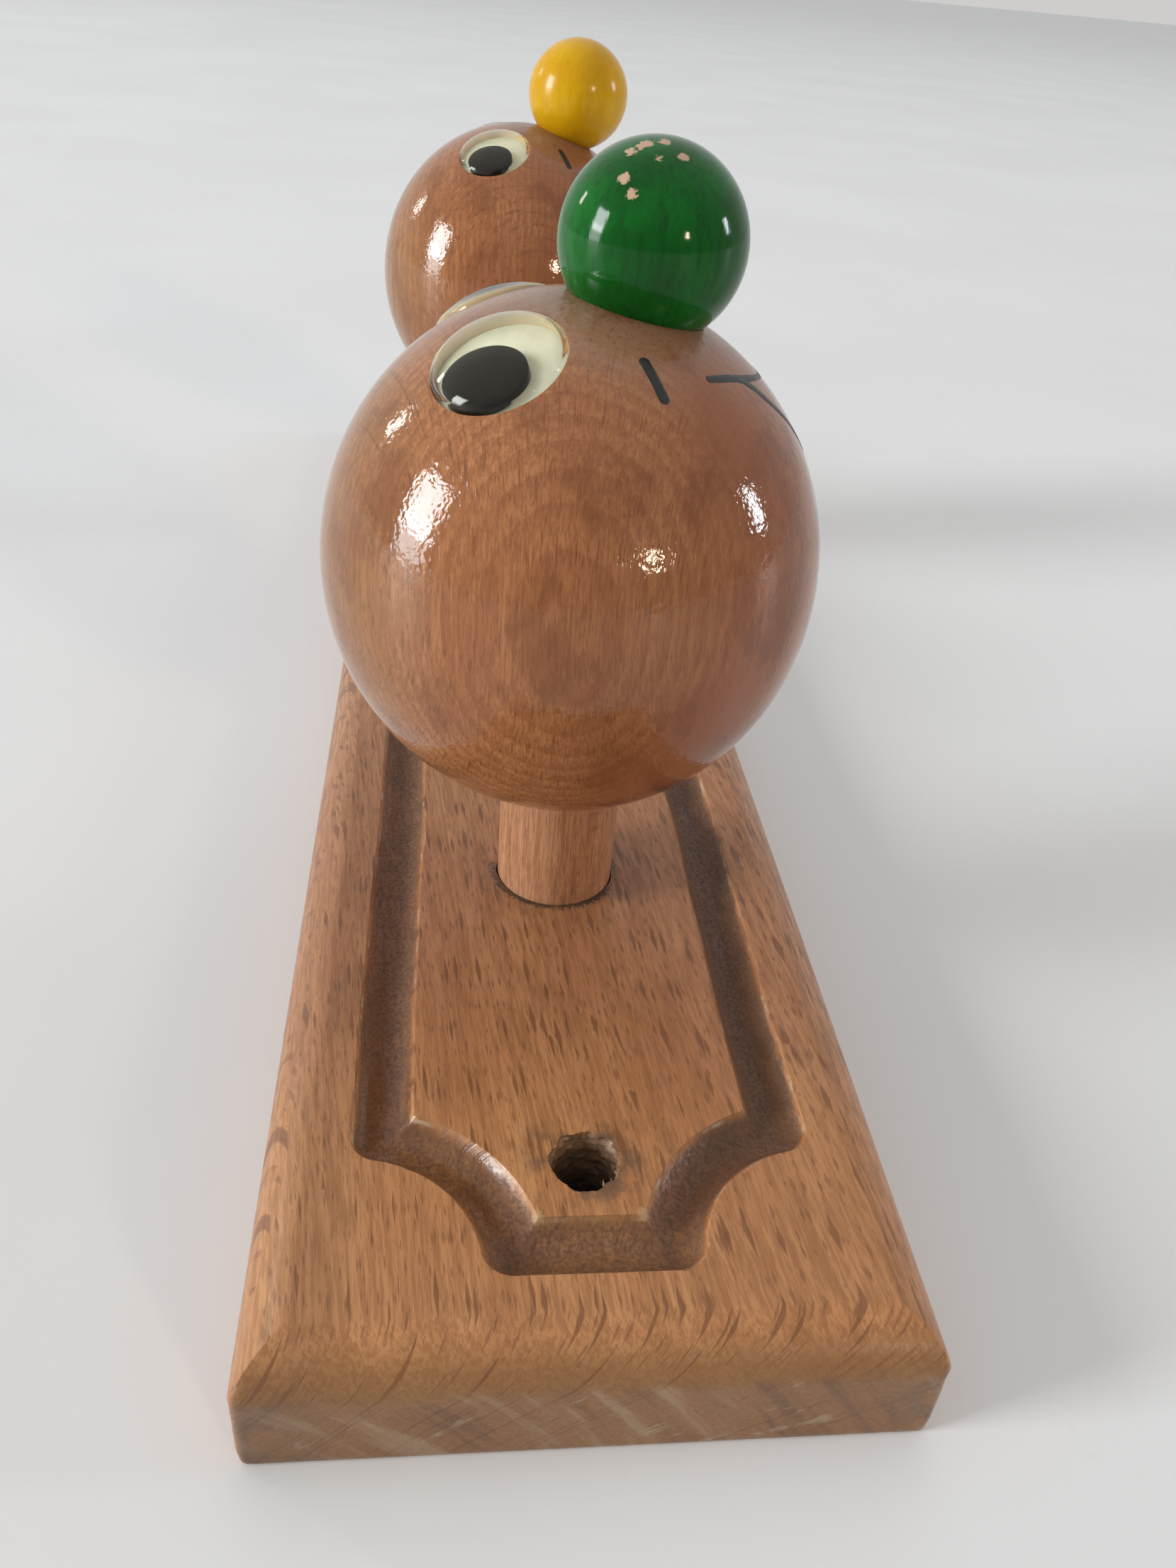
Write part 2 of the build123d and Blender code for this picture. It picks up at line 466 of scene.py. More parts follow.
def build_board(material):
    board = make_object("board", *board_mesh())
    holes = []
    for side, sign in SIGNS.items():
        holes += [screw_hole_cutter(sign), peg_hole_cutter(side)]
    cutter = make_object("cutter", *gathered(holes))
    cut = board.modifiers.new("holes", "BOOLEAN")
    cut.operation = "DIFFERENCE"
    cut.solver = "EXACT"
    cut.object = cutter
    baked(board)
    old = cutter.data
    bpy.data.objects.remove(cutter)
    bpy.data.meshes.remove(old)
    set_shading(board.data, True, SHARP_ANGLE)
    return dress(board, "root", material, ["back_board"])


# ---------- splinters


def splinter(root, tip, thickness):
    """One torn fibre: a thin spindle with four sides."""
    along = tip - root
    side = along.cross(Vector((0, 0, 1)))
    if side.length < 1e-6:
        side = Vector((1, 0, 0))
    side.normalize()
    up = side.cross(along).normalized()
    waist = root + along * 0.35
    ring = [waist + side * thickness, waist + up * thickness * 0.6]
    ring += [waist - side * thickness, waist - up * thickness * 0.6]
    points = [root] + ring + [tip]
    faces = ring_faces([0], [4, 3, 2, 1]) + ring_faces([5], [1, 2, 3, 4])
    return [tuple(p) for p in points], faces


def build_splinters(name, centre, material, seed, radius, arc, count, reach, depth):
    """Torn fibres round part of a hole's rim, lying mostly along the grain."""
    draw = random.Random(seed)
    made = []
    for _ in range(count):
        turn = math.radians(draw.uniform(*arc))
        out = Vector((math.cos(turn), math.sin(turn), 0))
        low = draw.uniform(0.0, depth)
        root = centre + out * (radius + 0.25) - Vector((0, 0, low + 0.05))
        lean = Vector((-math.copysign(1, out.x), draw.uniform(-0.4, 0.4), 0)) - out * 0.6
        lean.normalize()
        length = draw.uniform(0.4, 1.0) * reach
        tip = root + lean * length - Vector((0, 0, draw.uniform(-0.05, 0.35) * length))
        tip.z = min(tip.z, centre.z - 0.02)
        made.append(splinter(root, tip, draw.uniform(0.05, 0.13)))
    piece = make_object(name, *gathered(made), smooth=False)
    return dress(piece, "root", material)


# ---------- pegs and eyes


def build_peg(side, material):
    """A slightly uneven dowel with softened ends."""
    low, high = corners(f"{side}_peg")
    radius = half_width(f"{side}_peg")
    top = high.z - PEG_TOP_CHAMFER
    foot = low.z + PEG_FOOT_CHAMFER
    profile = [(0.0, high.z), (radius - PEG_TOP_CHAMFER, high.z)]
    rows = 40
    for k in range(rows + 1):
        profile.append((radius, top + (foot - top) * k / rows))
    profile += [(radius - PEG_FOOT_CHAMFER, low.z), (0.0, low.z)]

    def uneven(r, height, x, y):
        return r - 0.03 * (1 + wobble(x * 6 + low.x, y * 6, height * 0.01))

    centre = middle(f"{side}_peg")
    place = Matrix.Translation((centre.x, centre.y, 0))
    peg = turned(f"{side}_peg_dowel", profile, 144, place, 50, uneven)
    return dress(peg, "root", material, [f"{side}_peg"])


def eye_matrix(joint):
    """Frame of an eye: Z out of the head, X to the side that lies lowest, on the recess floor."""
    axis = Vector(joint["axis"]).normalized()
    floor = Vector(joint["pos_m"]) / MM - axis * PUPIL_MIDDLE
    low_side = (axis * axis.z - Vector((0, 0, 1))).normalized()
    across = axis.cross(low_side)
    turn = Matrix((low_side, across, axis)).transposed().to_4x4()
    return Matrix.Translation(floor) @ turn


def arc_profile(radius, wall_top, crown, shoulder, steps):
    """A shallow crown from the axis down to a wall, with a rounded shoulder."""
    rise = crown - wall_top
    crown_radius = (radius**2 + rise**2) / (2 * rise)
    profile = []
    for k in range(steps + 1):
        r = (radius - shoulder) * math.sin(math.pi / 2 * k / steps)
        z = crown - crown_radius + math.sqrt(crown_radius**2 - r**2)
        profile.append((r, z))
    last_r, last_z = profile[-1]
    for k in range(1, 6):
        t = k / 6
        bend = (1 - t) ** 2
        r = last_r * bend + 2 * t * (1 - t) * (radius - 0.02) + t * t * radius
        z = last_z * bend + 2 * t * (1 - t) * (wall_top + 0.16) + t * t * (wall_top - 0.35)
        profile.append((r, z))
    return profile


def build_eye(side, eye, joint, materials):
    """Backing, loose pupil and clear dome of one wiggle eye."""
    matrix = eye_matrix(joint)
    name = f"{side}_head_{eye}_eye"
    thick, rim = BACKING_THICKNESS, DISC_RADIUS
    back = [(0.0, thick), (rim - 0.06, thick), (rim, thick - 0.04)]
    back += [(rim, DISC_BOTTOM + 0.04), (rim - 0.04, DISC_BOTTOM), (0.0, DISC_BOTTOM)]
    piece = turned(f"{name}_disc", back, 128, matrix, 40)
    dress(piece, "root", materials["backing"], [f"{name}_back"])

    r, top, low = PUPIL_RADIUS, PUPIL_TOP, PUPIL_BOTTOM
    pupil = [(0.0, top), (r * 0.5, top - 0.01), (r - 0.30, top - 0.05), (r - 0.10, top - 0.12)]
    pupil += [(r, top - 0.22), (r, low + 0.1), (r - 0.1, low), (0.0, low)]
    offset = matrix @ Matrix.Translation((PUPIL_OFFSET, 0, 0))
    piece = turned(f"{name}_bead", pupil, 128, offset, 60)
    dress(piece, joint["child"], materials["pupil"], [f"{name}_pupil"])

    outer = arc_profile(EYE_RADIUS, EYE_WALL_TOP, EYE_HEIGHT, OUTER_SHOULDER, 30)
    inner_crown = EYE_HEIGHT - SHELL_THICKNESS
    inner = arc_profile(BORE_RADIUS, EYE_WALL_TOP, inner_crown, INNER_SHOULDER, 30)
    profile = outer + [(EYE_RADIUS, DOME_BOTTOM + 0.09), (EYE_RADIUS - 0.08, DOME_BOTTOM)]
    profile += [(BORE_RADIUS, DOME_BOTTOM)] + inner[::-1]
    piece = turned(f"{name}_lens", profile, 144, matrix, 60)
    dress(piece, "root", materials["dome"], [f"{name}_dome"])


# ---------- ink


def aimed(along, up):
    """The direction out of a ball for a pair of angles: along the board, and up the face."""
    along, up = math.radians(along), math.radians(up)
    return Vector((math.sin(along) * math.cos(up), math.sin(up), math.cos(along) * math.cos(up)))


def surface_point(centre, along, up):
    """A point on a head and the outward normal there, for a pair of face angles."""
    aim = aimed(along, up)
    across = (aim.x**2 + aim.y**2) / HEAD_RADIUS**2
    distance = 1 / math.sqrt(across + aim.z**2 / HEAD_HALF_HEIGHT**2)
    offset = aim * distance
    normal = Vector((offset.x, offset.y, offset.z * (HEAD_RADIUS / HEAD_HALF_HEIGHT) ** 2))
    return centre + offset, normal.normalized()


def curve_through(stations, steps):
    """Values along a smooth curve through the stations, each a tuple of numbers."""
    rows = [np.array(s, dtype=float) for s in stations]
    rows = [2 * rows[0] - rows[1]] + rows + [2 * rows[-1] - rows[-2]]
    out = []
    for k in range(1, len(rows) - 2):
        before, start, end, after = rows[k - 1 : k + 3]
        for step in range(steps):
            t = step / steps
            out.append(
                0.5 * (2 * start + (end - before) * t
                + (2 * before - 5 * start + 4 * end - after) * t**2
                + (3 * start - before - 3 * end + after) * t**3)
            )
    out.append(rows[-2])
    return out


def ink_stroke(centre, stations, proud):
    """A closed strip of ink on a head. Stations are (along, up, width in millimetres)."""
    samples = curve_through(stations, 14)
    spots = [surface_point(centre, s[0], s[1]) for s in samples]
    sides = 12
    points, faces = [], []
    last = len(samples) - 1
    for k, (spot, normal) in enumerate(spots):
        ahead = spots[min(k + 1, last)][0] - spots[max(k - 1, 0)][0]
        side = ahead.cross(normal).normalized()
        end_gap = min(k, last - k)
        taper = math.sqrt(min(1.0, (end_gap + 0.15) / 1.6))
        ragged = 1 + 0.10 * wobble(*spot, 2.3)
        half = samples[k][2] / 2 * taper * ragged
        for m in range(sides):
            turn = 2 * math.pi * m / sides
            rise = math.sin(turn) * (proud if math.sin(turn) > 0 else INK_DEPTH)
            points.append(tuple(spot + side * half * math.cos(turn) + normal * rise))
    for k in range(last):
        here = range(k * sides, (k + 1) * sides)
        faces += ring_faces(here, range(here.stop, here.stop + sides))
    faces.append(tuple(range(sides)))
    faces.append(tuple(range(len(points) - 1, len(points) - 1 - sides, -1)))
    return points, faces


def build_ink(side, turn_along, turn_up, dash, material):
    """The two cheek dashes and the smiling mouth, the same on both halves of the face."""
    centre = head_centre(side)
    axis = FACE_MIDDLE
    upper = [(-25.8, -21.8, 0.72), (-22.5, -26.5, 0.85), (-17.0, -32.6, 0.80)]
    upper += [(-8.6, -37.9, 0.62), (axis, -40.5, 0.55)]
    lower = [(-22.9, -26.0, 0.55), (-19.6, -30.2, 0.80), (-18.2, -34.6, 0.92)]
    lower += [(-17.2, -41.3, 0.84), (-13.6, -49.6, 0.72), (-9.4, -56.9, 0.60)]
    lower += [(-4.6, -60.8, 0.50), (axis, -62.0, 0.46)]
    strokes = []
    for half in (upper, lower):
        whole = half + [(2 * axis - a, u, w) for a, u, w in half[-2::-1]]
        strokes.append([(a + turn_along, u + turn_up, w) for a, u, w in whole])
    strokes.append([(a, u, DASH_WIDTH) for a, u in dash])
    strokes.append([(2 * (axis + turn_along) - a, u, DASH_WIDTH) for a, u in dash])
    made = [ink_stroke(centre, s, INK_PROUD + INK_STEP * k) for k, s in enumerate(strokes)]
    piece = make_object(f"{side}_face_ink", *gathered(made), sharp_angle=70)
    return dress(piece, "root", material)


# ---------- material graphs


class Graph:
    """Adds nodes to the emptied node tree of one material or world."""

    def __init__(self, owner):
        self.owner = owner
        self.colour = None
        owner.use_nodes = True
        self.tree = owner.node_tree
        self.tree.nodes.clear()

    def node(self, kind, inputs=(), **settings):
        made = self.tree.nodes.new("ShaderNode" + kind)
        for key, value in settings.items():
            setattr(made, key, value)
        for key, value in dict(inputs).items():
            self.feed(made.inputs[key], value)
        return made

    def feed(self, socket, value):
        if isinstance(value, bpy.types.NodeSocket):
            self.tree.links.new(value, socket)
        elif socket.type == "RGBA":
            socket.default_value = (*value, 1)
        else:
            socket.default_value = value

    def math(self, operation, *values, clamp=False):
        made = self.node("Math", enumerate(values), operation=operation, use_clamp=clamp)
        return made.outputs[0]

    def plus(self, one, two):
        return self.math("ADD", one, two)

    def minus(self, one, two):
        return self.math("SUBTRACT", one, two)

    def times(self, first, *others):
        for other in others:
            first = self.math("MULTIPLY", first, other)
        return first

    def hypot(self, one, two):
        squares = self.plus(self.math("POWER", one, 2.0), self.math("POWER", two, 2.0))
        return self.math("SQRT", squares)

    def vector(self, operation, *values):
        made = self.node("VectorMath", enumerate(values), operation=operation)
        return made.outputs["Value" if operation in ("DISTANCE", "DOT_PRODUCT") else "Vector"]

    def join(self, x, y, z):
        return self.node("CombineXYZ", {"X": x, "Y": y, "Z": z}).outputs[0]

    def split(self, vector):
        return self.node("SeparateXYZ", {"Vector": vector}).outputs

    def mix(self, factor, one, two, blend="MIX"):
        inputs = {0: factor, 6: one, 7: two}
        made = self.node("Mix", inputs, data_type="RGBA", blend_type=blend)
        return made.outputs[2]

    def tint(self, tone, *amounts):
        """Lay a tone over the colour so far, as strongly as the product of the amounts."""
        self.colour = self.mix(self.times(*amounts), self.colour, tone)

    def smooth(self, value, low, high, to_low=0.0, to_high=1.0):
        """Smooth step from to_low at low to to_high at high."""
        ends = {"From Min": low, "From Max": high, "To Min": to_low, "To Max": to_high}
        inputs = {"Value": value, **ends}
        return self.node("MapRange", inputs, interpolation_type="SMOOTHSTEP").outputs[0]

    def noise(self, vector, scale, detail=3.0, rough=0.55, twist=0.0):
        """Noise at one scale, or with a scale for each axis."""
        if isinstance(scale, tuple):
            vector = self.vector("MULTIPLY", vector, scale)
            scale = 1.0
        inputs = {"Vector": vector, "Scale": scale, "Detail": detail}
        inputs.update({"Roughness": rough, "Distortion": twist})
        return self.node("TexNoise", inputs).outputs["Fac"]

    def millimetres(self):
        place = self.node("TexCoord").outputs["Object"]
        return self.vector("SCALE", place, (0, 0, 0), (0, 0, 0), 1 / MM)

    def bump(self, height, strength, distance, normal=None):
        inputs = {"Height": height, "Strength": strength, "Distance": distance * MM}
        if normal is not None:
            inputs["Normal"] = normal
        return self.node("Bump", inputs).outputs[0]

    def show(self, kind, shader):
        self.tree.links.new(shader, self.node(f"Output{kind}").inputs["Surface"])
        return self.owner

    def finish(self, rough, normal, specular=0.5):
        inputs = {"Base Color": self.colour, "Roughness": rough, "Normal": normal}
        inputs["Specular IOR Level"] = specular
        return self.show("Material", self.node("BsdfPrincipled", inputs).outputs[0])


def material_graph(name):
    return Graph(bpy.data.materials.new(name))


# ---------- wood


# A fleck's dark core, as a part of its size
FLECK_CORE = 0.60

# Only what lies further in from the board's sides than this counts as groove
EDGE_BAND = 6.0

# Where these begin and are full: golden ends that are partly painted light, a ragged dark ring
# of dirt and painted shade round a peg's foot, smudges round a peg, dust round a nose
GOLDEN_AND_LIT_REACH = (84.0, 108.0)
PEG_COLLAR = (7.5, 7.1)
PEG_HALO = (14.0, 7.0)
NOSE_DUST = (24.0, 14.0)

# grime and painted shade in the groove
GROOVE_GRIME_AND_SHADE_TONE = (0.165, 0.070, 0.030)
# grit and dark grain, and painted shade along parts of the groove
GRIT_AND_SHADE_TONE = (0.060, 0.030, 0.018)
TORN_TONE = (0.50, 0.33, 0.18)
WALL_TONE = (0.270, 0.170, 0.100)
# paler golden tone of the ends, partly painted light
GOLDEN_AND_LIT_TONE = (0.74, 0.70, 0.56)
# smudges, and painted shade on one side of the top
SMUDGE_AND_SHADE_TONE = (0.100, 0.065, 0.045)
# painted shade deep in the holes, and with dirt round the pegs' feet
BORE_SHADE_TONE = (0.045, 0.026, 0.016)
RUBBED_TONE = (0.45, 0.37, 0.25)
DUST_TONE = (0.255, 0.185, 0.125)
# painted shade under a head
HEAD_UNDER_SHADE_TONE = (0.13, 0.052, 0.024)
# red patches, and painted shade on a head's -Y side
HEAD_RED_AND_SHADE_TONE = (0.265, 0.092, 0.038)
HEAD_OLIVE_TONE = (0.20, 0.115, 0.045)


def wood(name, look):
    """Beech with growth rings round a pith, ray flecks, fibres and pores."""
    g = material_graph(name)
    place = g.millimetres()
    x, y, z = g.split(place)[:3]
    if look["grain"] == "X":
        along, up = x, z
        across = g.minus(y, g.times(x, look["slant"]))
    else:
        along, up = z, y
        across = g.minus(x, g.times(g.minus(z, HEAD_CENTRE_HEIGHT), look["slant"]))
    bend = g.noise(place, look["bend"], 2.0)
    sway = g.times(g.minus(bend, 0.5), look["sway"])
    side = g.plus(g.minus(across, look["pith"][0]), sway)
    lift = g.minus(up, look["pith"][1])
    radius = g.hypot(side, lift)
    girth = g.times(g.math("ARCTAN2", side, lift), look["girth"])
    polar = g.join(along, radius, girth)

    # growth rings
    drift = g.noise(polar, (0.012, 0.05, 0.03), 2.0)
    phase = g.math("FRACT", g.plus(g.times(radius, 1 / look["ring"]), g.times(drift, 2.6)))
    rings = g.times(g.smooth(phase, 0.15, 0.9), g.smooth(phase, 0.999, 0.93))

    # rays, seen as dark spindles along the grain and as long lines across the end grain
    def flecks(long, deep, wide, rarity, high):
        stray = g.noise(polar, (0.02, 0.02, 0.8), 1.0)
        layer = g.math("FLOOR", g.plus(g.times(radius, 1 / deep), g.times(stray, 4.0)))
        cells = g.join(g.plus(g.times(along, 1 / long), g.times(layer, 7.3)),
                       g.plus(g.times(girth, 1 / wide), g.times(layer, 3.7)), 0.0)
        cell = g.node("TexVoronoi", {"Vector": cells, "Scale": 1.0}, voronoi_dimensions="2D",
                      distance="MANHATTAN").outputs
        size = g.times(g.smooth(g.split(cell["Color"])[0], rarity, 1.0), high)
        return g.smooth(cell["Distance"], size, g.times(size, FLECK_CORE))

    big = flecks(*look["rays"])
    small = flecks(*look["small_rays"])

    # fibres and pores
    fibre = g.noise(polar, (0.16, 2.2, 2.2), 5.0, 0.68)
    pores = g.noise(polar, (0.6, 5.5, 5.5), 3.0, 0.6)
    cloud = g.noise(polar, (0.02, 0.06, 0.06), 3.0, 0.55, 0.4)
    g.colour = g.mix(g.smooth(cloud, 0.3, 0.7), look["light"], look["deep"])
    g.tint(look["ring_tone"], rings, look["ring_strength"])
    g.tint(look["dark"], g.smooth(fibre, 0.40, 0.60, 0.0, look["fibre"]))
    g.tint(look["dark"], g.smooth(pores, 0.52, 0.66, 0.0, look["pore"]))

    # end grain drinks in more finish and dirt, and shows its rays less
    facing = g.split(g.node("TexCoord").outputs["Normal"])
    end_grain = g.math("ABSOLUTE", facing[0] if look["grain"] == "X" else facing[2])
    ends = g.smooth(end_grain, look["end_from"], 0.98)
    g.tint(look["end_tone"], ends, look["end_strength"])
    fade = g.minus(1.0, g.times(ends, look["end_fade"]))
    g.tint(look["fleck"], small, look["small_strength"], fade)
    g.tint(look["fleck"], big, look["fleck_strength"], fade)
    rough = g.smooth(fibre, 0.3, 0.75, *look["rough"])
    # extra tones: wear and dirt, with painted light and shade on some woods
    if look.get("wear_and_shade"):
        at = {"place": place, "polar": polar, "ends": ends}
        rough = look["wear_and_shade"](g, at, rough)

    relief = g.times(fibre, 0.5)
    for part, height in ((pores, -0.35), (small, -0.25), (big, -0.5), (rings, 0.12)):
        relief = g.plus(relief, g.times(part, height))
    normal = g.bump(relief, *look["bump"])
    if look.get("ripple"):
        normal = g.bump(g.noise(place, 1.7, 1.5, 0.5), *look["ripple"], normal)
    return g.finish(rough, normal, look["specular"])


def board_wear_and_shade(g, at, rough):
    """Grime and painted shade in the groove and holes, paler ends that are partly painted light,
    painted shade on one side of the top, pale rims and grey worn patches.
    """
    place, polar = at["place"], at["polar"]
    x, y, z = g.split(place)[:3]
    far_x = g.math("ABSOLUTE", x)
    far_y = g.math("ABSOLUTE", y)
    down = g.minus(THICKNESS, z)
    past_screw = g.minus(far_x, SCREW_X)
    mottle = g.noise(place, 0.25, 5.0, 0.65)
    grit = g.noise(place, 2.6, 4.0, 0.7)

    # the two ends of the top are paler and more golden than its middle: partly the wood's tone,
    # partly painted light standing in for the brighter light on the ends
    golden = g.smooth(far_x, *GOLDEN_AND_LIT_REACH, 0.0, 0.45)
    g.colour = g.mix(golden, g.colour, GOLDEN_AND_LIT_TONE, "SOFT_LIGHT")

    # the groove is grimy and dull, with painted shade in its hollow; more painted shade makes it
    # darkest along one side, with glossy scoops on the other
    inside = g.times(g.math("LESS_THAN", far_x, HALF_LENGTH - EDGE_BAND),
                     g.math("LESS_THAN", far_y, HALF_WIDTH - EDGE_BAND))
    groove = g.times(inside, g.smooth(down, 0.05, 0.9))
    g.tint(GROOVE_GRIME_AND_SHADE_TONE, groove, g.smooth(mottle, 0.25, 0.75, 0.55, 0.95))
    g.tint(GRIT_AND_SHADE_TONE, groove, g.smooth(grit, 0.40, 0.62, 0.0, 0.55))
    rough = g.plus(rough, g.times(groove, g.smooth(grit, 0.4, 0.6, 0.05, 0.30)))
    scoop = g.times(g.smooth(past_screw, -14.0, -9.0), g.smooth(past_screw, 9.0, 5.0))
    glossy = g.times(scoop, groove, g.smooth(y, 6.0, 9.0), 0.32)
    rough = g.math("SUBTRACT", rough, glossy, clamp=True)
    # painted shade darkens the groove towards the -Y side
    g.tint(GRIT_AND_SHADE_TONE, groove, g.smooth(y, -5.0, -12.0, 0.0, 0.50))
    # painted shade on the outer half of the groove on the +Y side
    outer = g.smooth(y, GROOVE_HALF_WIDTH - 0.4, GROOVE_HALF_WIDTH + 1.0, 0.0, 0.18)
    g.tint(GRIT_AND_SHADE_TONE, groove, outer)

    # the groove's rim is rubbed pale in places, most of all at the inner corners
    band = g.times(g.smooth(down, 0.10, 0.18), g.smooth(down, 0.50, 0.34))
    g.tint(RUBBED_TONE, band, inside, g.smooth(mottle, 0.50, 0.62), 0.55)
    torn = g.vector("DISTANCE", g.join(far_x, far_y, z), ISLAND_CORNER)
    torn = g.plus(torn, g.times(grit, 1.6))
    g.tint(TORN_TONE, g.smooth(torn, 1.65, 1.20, 0.0, 0.55))

    # the screw holes are smudged round their rims, and painted shade darkens them deep inside
    reach = g.minus(g.hypot(past_screw, y), SCREW_HOLE_RADIUS)
    smudge = g.smooth(reach, 4.0, 0.0)
    g.tint(SMUDGE_AND_SHADE_TONE, smudge, g.smooth(mottle, 0.44, 0.62), 0.80)
    bore = g.smooth(reach, 0.9, 0.5)
    layers = g.noise(place, (1.0, 1.0, 3.4), 4.0, 0.7)
    g.tint(WALL_TONE, bore, g.smooth(down, 0.05, 0.5), g.smooth(layers, 0.35, 0.62, 0.25, 0.95))
    # painted shade, darker further down the bore
    g.tint(BORE_SHADE_TONE, bore, g.smooth(down, 3.0, 8.0), 0.92)

    # dirt and painted shade in a ragged ring where the pegs enter the board, and smudges round
    # them
    ring = g.hypot(g.minus(far_x, abs(middle("left_peg").x)), y)
    collar = g.plus(ring, g.times(g.minus(grit, 0.5), 2.6))
    # a ragged dark ring of dirt and painted shade at the peg's foot
    g.tint(BORE_SHADE_TONE, g.smooth(collar, *PEG_COLLAR), g.smooth(mottle, 0.34, 0.60, 0.40, 0.92))
    g.tint(SMUDGE_AND_SHADE_TONE, g.smooth(ring, *PEG_HALO), g.smooth(mottle, 0.36, 0.62), 0.30)

    # pale year rings, rubbed streaks and dirty corners on the end faces
    face = g.times(at["ends"], g.smooth(down, EDGE_DROP - 0.6, EDGE_DROP + 0.6))
    year = g.noise(polar, (0.03, 0.34, 0.05), 3.0, 0.6)
    g.tint(RUBBED_TONE, face, g.smooth(year, 0.52, 0.66, 0.0, 0.30))
    g.tint(GRIT_AND_SHADE_TONE, face, g.smooth(year, 0.46, 0.34, 0.0, 0.35))
    scuffed = g.noise(polar, (0.1, 0.22, 0.9), 4.0, 0.65)
    g.tint(RUBBED_TONE, face, g.smooth(scuffed, 0.60, 0.72), 0.45)
    corner = g.smooth(far_y, HALF_WIDTH - 7.0, HALF_WIDTH - 0.5)
    g.tint(SMUDGE_AND_SHADE_TONE, corner, face, g.smooth(mottle, 0.40, 0.60), 0.55)

    # painted shade makes one side of the top a little darker, and handling has greyed it in
    # streaks
    shade = g.smooth(y, HALF_WIDTH - 10.0, HALF_WIDTH - 6.0, 0.0, 0.16)
    g.tint(SMUDGE_AND_SHADE_TONE, shade)
    streak = g.noise(place, (0.05, 0.35, 0.35), 4.0, 0.6)
    greyed = g.times(g.smooth(streak, 0.60, 0.76), g.smooth(mottle, 0.4, 0.6))
    g.tint(SMUDGE_AND_SHADE_TONE, greyed, 0.30)
    return rough


def head_wear_and_shade(centre, nose):
    """Dust round a head's nose, painted shade under it and on its redder side, a greener side,
    and dark patches, more of them on one side.
    """

    def wear_and_shade(g, at, rough):
        place = at["place"]
        y, z = g.split(place)[1:3]
        speckle = g.noise(place, 2.1, 4.0, 0.75)
        blotch = g.noise(place, (0.16, 0.16, 0.10), 4.0, 0.6)
        from_nose = g.vector("DISTANCE", place, tuple(nose))
        near = g.smooth(g.plus(from_nose, g.times(blotch, 8.0)), *NOSE_DUST)
        dust = g.times(near, g.smooth(speckle, 0.35, 0.62, 0.40, 0.85))
        g.tint(DUST_TONE, dust)
        g.tint(GRIT_AND_SHADE_TONE, near, g.smooth(speckle, 0.44, 0.34, 0.0, 0.55))
        rough = g.plus(rough, g.times(dust, 0.30))
        # painted shade darkens the bottom of the head
        below = g.smooth(g.minus(z, centre.z - HEAD_HALF_HEIGHT), 7.0, 0.5)
        g.tint(HEAD_UNDER_SHADE_TONE, below, 0.55)
        sideways = g.minus(y, centre.y)
        red = g.noise(place, 0.05, 2.0)
        # random red patches, and painted shade that reddens and darkens the -Y side
        warm_and_shaded = g.plus(g.smooth(red, 0.42, 0.62, 0.0, 0.35),
                      g.smooth(sideways, 12.0, -20.0, 0.0, 0.80))
        g.tint(HEAD_RED_AND_SHADE_TONE, warm_and_shaded)
        g.tint(HEAD_OLIVE_TONE, g.smooth(sideways, 10.0, 22.0, 0.0, 0.40))
        g.tint(HEAD_LOOK["dark"], g.smooth(blotch, 0.50, 0.66, 0.0, 0.52))
        # dark patches, on the -Y side only
        side_patches = g.noise(place, (0.30, 0.30, 0.12), 5.0, 0.65)
        g.tint(HEAD_LOOK["dark"], g.smooth(side_patches, 0.50, 0.60, 0.0, 0.55),
               g.smooth(sideways, -6.0, -16.0))
        return rough

    return wear_and_shade


# Rays are length, depth and width in mm, rarity and size. Bumps are strength and depth in mm.
BOARD_LOOK = dict(
    grain="X",
    slant=0.10,
    pith=(85.0, -50.0),
    girth=90.0,
    bend=(0.012, 0.03, 0.03),
    sway=5.0,
    ring=4.6,
    ring_strength=0.20,
    rays=(7.5, 20.0, 0.54, 0.36, 0.42),
    small_rays=(3.0, 12.0, 0.34, 0.25, 0.40),
    light=(0.49, 0.232, 0.104),
    deep=(0.39, 0.164, 0.072),
    ring_tone=(0.27, 0.110, 0.040),
    dark=(0.20, 0.078, 0.028),
    fleck=(0.150, 0.060, 0.026),
    fibre=0.50,
    pore=0.38,
    small_strength=0.50,
    fleck_strength=0.72,
    end_from=0.45,
    end_strength=0.66,
    end_tone=(0.150, 0.082, 0.035),
    end_fade=0.10,
    rough=(0.26, 0.42),
    specular=0.36,
    bump=(0.35, 0.10),
    wear_and_shade=board_wear_and_shade,
)

HEAD_LOOK = dict(
    grain="Z",
    slant=0.16,
    girth=45.0,
    bend=(0.03, 0.03, 0.012),
    sway=2.0,
    ring=1.15,
    ring_strength=0.42,
    rays=(4.5, 12.0, 0.50, 0.40, 0.38),
    small_rays=(1.9, 7.0, 0.34, 0.25, 0.40),
    light=(0.50, 0.233, 0.100),
    deep=(0.385, 0.160, 0.062),
    ring_tone=(0.23, 0.080, 0.030),
    dark=(0.165, 0.054, 0.020),
    fleck=(0.090, 0.030, 0.012),
    fibre=0.48,
    pore=0.50,
    small_strength=0.42,
    end_from=0.75,
    end_strength=0.30,
    end_tone=(0.22, 0.110, 0.055),
    end_fade=0.3,
    rough=(0.03, 0.08),
    specular=0.38,
    bump=(0.25, 0.024),
    ripple=(0.90, 0.040),
)

